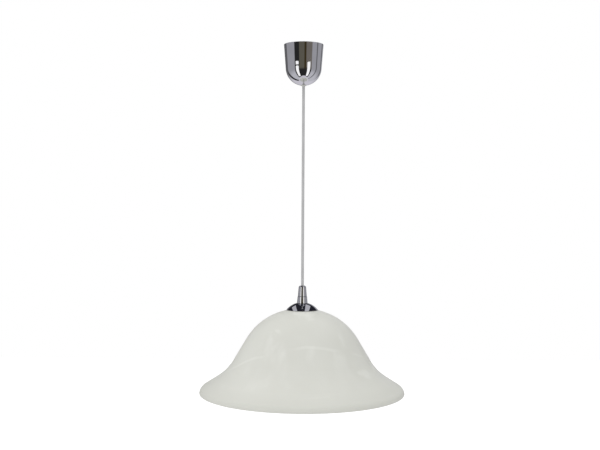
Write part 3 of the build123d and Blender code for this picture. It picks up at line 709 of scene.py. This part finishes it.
# %% Bulb cap
bulb_pitch = 3.62 * mm
section_cuts = 60
cap_low, cap_high = heights("bulb_cap")
cap_radius = 12.95 * mm
cap_wall = 0.4 * mm
cap_neck = cap_radius - 2.5 * mm
cap_mouth = cap_radius - 2.9 * mm
cap_shoulder = cap_high - 1.5 * mm
inner_shoulder = cap_high - 2 * mm
cap_section = [
    (cap_radius - cap_wall, cap_low), (cap_radius, cap_low), (cap_radius, cap_shoulder),
    (cap_neck, cap_high), (cap_mouth, cap_high), (cap_mouth, cap_high - cap_wall),
    (cap_radius - cap_wall, inner_shoulder),
]
turned_piece(
    "bulb_thread", cap_section, "bulb_metal", "bulb", "bulb_cap",
    Segments=96, Cuts=section_cuts, Pitch=bulb_pitch, Depth=0.9 * mm,
    Low=cap_low + 1 * mm, High=cap_high - 1 * mm, Inside=0.0,
)

# %% [markdown]
# ### Holder sleeve
#
# The sleeve in the holder is the nut that the bulb's cap screws into. It has the cap's pitch, with a
# shallower wave and a wider radius, which leaves the cap room to turn.

# %% Holder sleeve
sleeve_low, sleeve_high = heights("holder_sleeve")
sleeve_radius = 13.4 * mm
sleeve_wall = 0.6 * mm
sleeve_section = [
    (sleeve_radius, sleeve_low), (sleeve_radius + sleeve_wall, sleeve_low),
    (sleeve_radius + sleeve_wall, sleeve_high), (sleeve_radius, sleeve_high),
]
turned_piece(
    "sleeve_thread", sleeve_section, "brass", "head", "holder_sleeve",
    Segments=96, Cuts=section_cuts, Pitch=bulb_pitch, Depth=0.4 * mm,
    Low=sleeve_low, High=sleeve_high, Inside=0.0,
)

# %% [markdown]
# ### Holder shell
#
# The shell is moulded. Its outside has a finer thread for the two rings that hold the glass, and its inside
# is stepped for the insert and the sleeve. A limit on the radius keeps the thread off the inner walls.

# %% Holder shell
shell_low, shell_high = heights("holder_shell")
insert_low = heights("holder_insert")[0]
shell_radius = 20.0 * mm
insert_bore = 17.4 * mm
sleeve_bore = 16.2 * mm
shell_mouth = 15.2 * mm
shell_section = [
    (insert_bore, shell_high), (shell_radius, shell_high), (shell_radius, sleeve_low),
    (shell_radius - 1 * mm, shell_low), (shell_mouth, shell_low), (shell_mouth, shell_low + 1.5 * mm),
    (sleeve_bore, shell_low + 3 * mm), (sleeve_bore, insert_low), (insert_bore, insert_low),
]
turned_piece(
    "shell_thread", shell_section, "holder_plastic", "head", "holder_shell",
    Segments=128, Cuts=section_cuts, Pitch=2.8 * mm, Depth=0.7 * mm,
    Low=sleeve_low, High=shell_high - 1 * mm, Inside=shell_radius - 0.4 * mm,
)

# %% [markdown]
# ## Studio
#
# The photograph is a cut-out on white, so the floor and the background are both plain and pale. The floor
# lies well below the lamp, so that a camera looking up at the shade isn't under it.

# %% Floor
floor_height = -2.5
floor_reach = 12.0


def stage_mesh(name, points, faces, material):
    """Mesh of the studio, which is no part of the lamp."""
    mesh = bpy.data.meshes.new(name)
    mesh.from_pydata(points, [], faces)
    mesh.materials.append(material)
    thing = bpy.data.objects.new(name, mesh)
    bpy.context.collection.objects.link(thing)
    return thing


floor_material, floor_tree, floor_shader = new_material("pale_floor")
floor_colour = mottled(floor_tree, (0.92, 0.92, 0.92), (0.89, 0.89, 0.89), scale=3)
floor_tree.links.new(floor_colour, floor_shader.inputs["Base Color"])
floor_shader.inputs["Roughness"].default_value = 0.9
floor_shader.inputs["Emission Color"].default_value = (1, 1, 1, 1)
floor_shader.inputs["Emission Strength"].default_value = 0.3
square = ((-1, -1), (1, -1), (1, 1), (-1, 1))
floor_corners = [(x * floor_reach, y * floor_reach, floor_height) for x, y in square]
floor = stage_mesh("floor", floor_corners, [(0, 1, 2, 3)], floor_material)
# The lamp's light and reflections from below come from the world's table, not from the floor
floor.visible_glossy = False
floor.visible_diffuse = False
print("floor at", floor_height, "m")

# %% [markdown]
# ### Soft boxes and panels
#
# Chrome has no colour of its own and shows what stands round it. Its reflections give the studio away: two
# tall soft boxes left and right of the camera, two long panels overhead, grey walls, a dark side behind the
# camera and a pale table below. The boxes and panels are real rectangles, so each chrome piece sees them
# from its own place. The left box has a dark rail across it, which is a gap between two rectangles here.

# %% Soft boxes
box_distance = 0.83
box_width = 0.27
box_foot = -1.42
rail_drop = 9.0 * mm
rail_height = 4.5 * mm


def light_cloth(name, colour, strength):
    """Glowing cloth of a soft box or panel."""
    material, _, shader = new_material(name)
    shader.inputs["Base Color"].default_value = (0, 0, 0, 1)
    shader.inputs["Emission Color"].default_value = (*colour, 1)
    shader.inputs["Emission Strength"].default_value = strength
    return material


def light_panel(name, points, faces, material):
    """A panel that only shows in polished surfaces."""
    panel = stage_mesh(name, points, faces, material)
    panel.visible_camera = False
    panel.visible_diffuse = False
    panel.visible_shadow = False


box_cloth = light_cloth("soft_box_cloth", (1, 1, 1), strength=1.5)


def standing_box(name, azimuth, left_head, right_head, drops):
    """Tall soft box that faces the lamp. At each drop below its slanting head, cloth starts or ends."""
    turn = math.radians(azimuth)
    middle = Vector((math.sin(turn), -math.cos(turn))) * box_distance
    half = Vector((math.cos(turn), math.sin(turn))) * box_width / 2
    left, right = middle - half, middle + half
    points = []
    for drop in drops:
        points += [(*left, left_head - drop), (*right, right_head - drop)]
    points += [(*left, box_foot), (*right, box_foot)]
    faces = [(first, first + 1, first + 3, first + 2) for first in range(0, len(points), 4)]
    light_panel(name, points, faces, box_cloth)


railed = (0, rail_drop, rail_drop + rail_height)
standing_box("left_soft_box", -41, left_head=-24.5 * mm, right_head=-32.5 * mm, drops=railed)
standing_box("right_soft_box", 32.5, left_head=-37 * mm, right_head=-29.5 * mm, drops=(0,))
print("soft boxes stand", box_distance, "m from the lamp")

# %% Overhead panels
panel_near = -0.45
panel_far = 0.7
panel_height = 0.15
panel_cloth = light_cloth("panel_cloth", (0.93, 0.93, 1), strength=0.66)


def overhead_panel(name, left, right):
    """Long panel above the lamp, from in front of it to behind it."""
    corners = ((left, panel_near), (right, panel_near), (right, panel_far), (left, panel_far))
    light_panel(name, [(x, y, panel_height) for x, y in corners], [(0, 1, 2, 3)], panel_cloth)


overhead_panel("left_panel", -0.53, -0.29)
overhead_panel("right_panel", 0.14, 0.38)
print("panels hang", panel_height, "m above the ceiling's height")

# %% [markdown]
# ### World
#
# The rest of the studio is drawn by direction. Polished surfaces see its walls; the camera sees plain
# white; and matt surfaces see an even light that is a little stronger in front, above and on the left,
# and from the pale table straight below. A world's Generated coordinates are the direction of a ray, so
# its angle round the lamp and its rise say where it goes.

# %% Directions
world = bpy.data.worlds.new("studio")
world.use_nodes = True
bpy.context.scene.world = world
sky = world.node_tree
sky.nodes.clear()
direction = add_node(sky, "ShaderNodeTexCoord").outputs["Generated"]
split_direction = add_node(sky, "ShaderNodeSeparateXYZ")
sky.links.new(direction, split_direction.inputs[0])
side, depth, rise = split_direction.outputs
turn = math_node(sky, "ARCTAN2", side, math_node(sky, "MULTIPLY", depth, -1.0))
azimuth = math_node(sky, "MULTIPLY_ADD", turn, 1 / (2 * math.pi), 0.5)
print("world:", world.name, "with directions in", len(sky.nodes), "nodes")

# %% Walls
wall_edge = 1.5


def studio_ramp(tree, azimuth, stops):
    """Colours against the angle round the lamp, in degrees from the camera's side, positive to the right."""
    points = []
    for (start, colour), (end, _) in zip(stops, stops[1:] + [(180, None)]):
        points += [(start + wall_edge, colour), (end - wall_edge, colour)]
    ramp = add_node(tree, "ShaderNodeValToRGB")
    elements = ramp.color_ramp.elements
    for element, (degrees, colour) in zip((elements[0], elements[1]), (points[0], points[-1])):
        element.position = (degrees + 180) / 360
        element.color = (*colour, 1)
    for degrees, colour in points[1:-1]:
        elements.new((degrees + 180) / 360).color = (*colour, 1)
    tree.links.new(azimuth, ramp.inputs["Fac"])
    return ramp.outputs["Color"]


lavender = (0.46, 0.46, 0.5)
pale = (0.62, 0.62, 0.67)
cloth = (0.72, 0.72, 0.78)
table = (0.86, 0.84, 0.92)
dim = (0.16, 0.16, 0.17)
black = (0.03, 0.03, 0.03)
brown = (0.15, 0.14, 0.11)
umber = (0.06, 0.045, 0.02)
taupe = (0.22, 0.2, 0.18)

# Each wall starts at its angle and ends where the next one starts
walls = [
    (-180, dim), (-121, lavender), (-58, black), (-28, brown), (4, umber), (16, taupe), (52, lavender),
    (85, dim), (93, lavender), (131, dim), (146, lavender),
]
low_walls = [
    (-180, pale), (-138, black), (-121, lavender), (-58, black), (52, lavender), (85, dim), (93, lavender),
    (133, dim), (142, pale),
]
foot_walls = [
    (-180, table), (-133, black), (-114, cloth), (-62, black), (52, cloth), (84, dim), (92, cloth),
    (140, table),
]
low_rise = (-0.02, -0.35)
foot_rise = (-0.15, -0.65)
mirrored = studio_ramp(sky, azimuth, walls)
for stops, rises in ((low_walls, low_rise), (foot_walls, foot_rise)):
    mirrored = mix_colours(sky, map_range(sky, rise, *rises), mirrored, studio_ramp(sky, azimuth, stops))
print("walls:", len(walls), "level with the lamp,", len(low_walls), "lower,", len(foot_walls), "at the foot")

# %% Table and overhead
table_squeeze = (1.35, 1, 0)
table_edge = (0.543, 0.475)
overhead_rise = (0.3, 0.45)
overhead_colour = (0.025, 0.025, 0.035, 1)

# The table is deeper than it is wide, so a step sideways counts for more. The dark overhead covers
# what this would also paint straight above.
off_centre = add_node(sky, "ShaderNodeVectorMath", operation="MULTIPLY")
sky.links.new(direction, off_centre.inputs[0])
off_centre.inputs[1].default_value = table_squeeze
spread = add_node(sky, "ShaderNodeVectorMath", operation="LENGTH")
sky.links.new(off_centre.outputs["Vector"], spread.inputs[0])
on_table = map_range(sky, spread.outputs["Value"], *table_edge)
mirrored = mix_colours(sky, on_table, mirrored, (*table, 1))
overhead = map_range(sky, rise, *overhead_rise)
mirrored = mix_colours(sky, overhead, mirrored, overhead_colour)
print("table:", table_squeeze[0], "times as deep as it is wide")

# %% Even light for matt surfaces
even_light = 0.82
more_in_front = -0.1
more_from_left = -0.125
more_above = 0.32
more_from_table = 0.4
table_rise = (-0.45, -0.85)

soft = math_node(sky, "MULTIPLY_ADD", depth, more_in_front, even_light)
soft = math_node(sky, "MULTIPLY_ADD", side, more_from_left, soft)
soft = math_node(sky, "MULTIPLY_ADD", rise, more_above, soft)
from_table = map_range(sky, rise, *table_rise, 0.0, more_from_table)
soft = math_node(sky, "ADD", soft, from_table)
grey = add_node(sky, "ShaderNodeCombineColor")
for channel in grey.inputs[:3]:
    sky.links.new(soft, channel)
print("even light:", even_light)

# %% Put the world together
white = (1, 1, 1, 1)
rays = add_node(sky, "ShaderNodeLightPath")
seen = mix_colours(sky, rays.outputs["Is Glossy Ray"], grey.outputs["Color"], mirrored)
seen = mix_colours(sky, rays.outputs["Is Camera Ray"], seen, white)
background = add_node(sky, "ShaderNodeBackground")
sky.links.new(seen, background.inputs["Color"])
out = add_node(sky, "ShaderNodeOutputWorld")
sky.links.new(background.outputs["Background"], out.inputs["Surface"])
bpy.context.scene.view_settings.view_transform = "Standard"
print("world:", len(sky.nodes), "nodes")
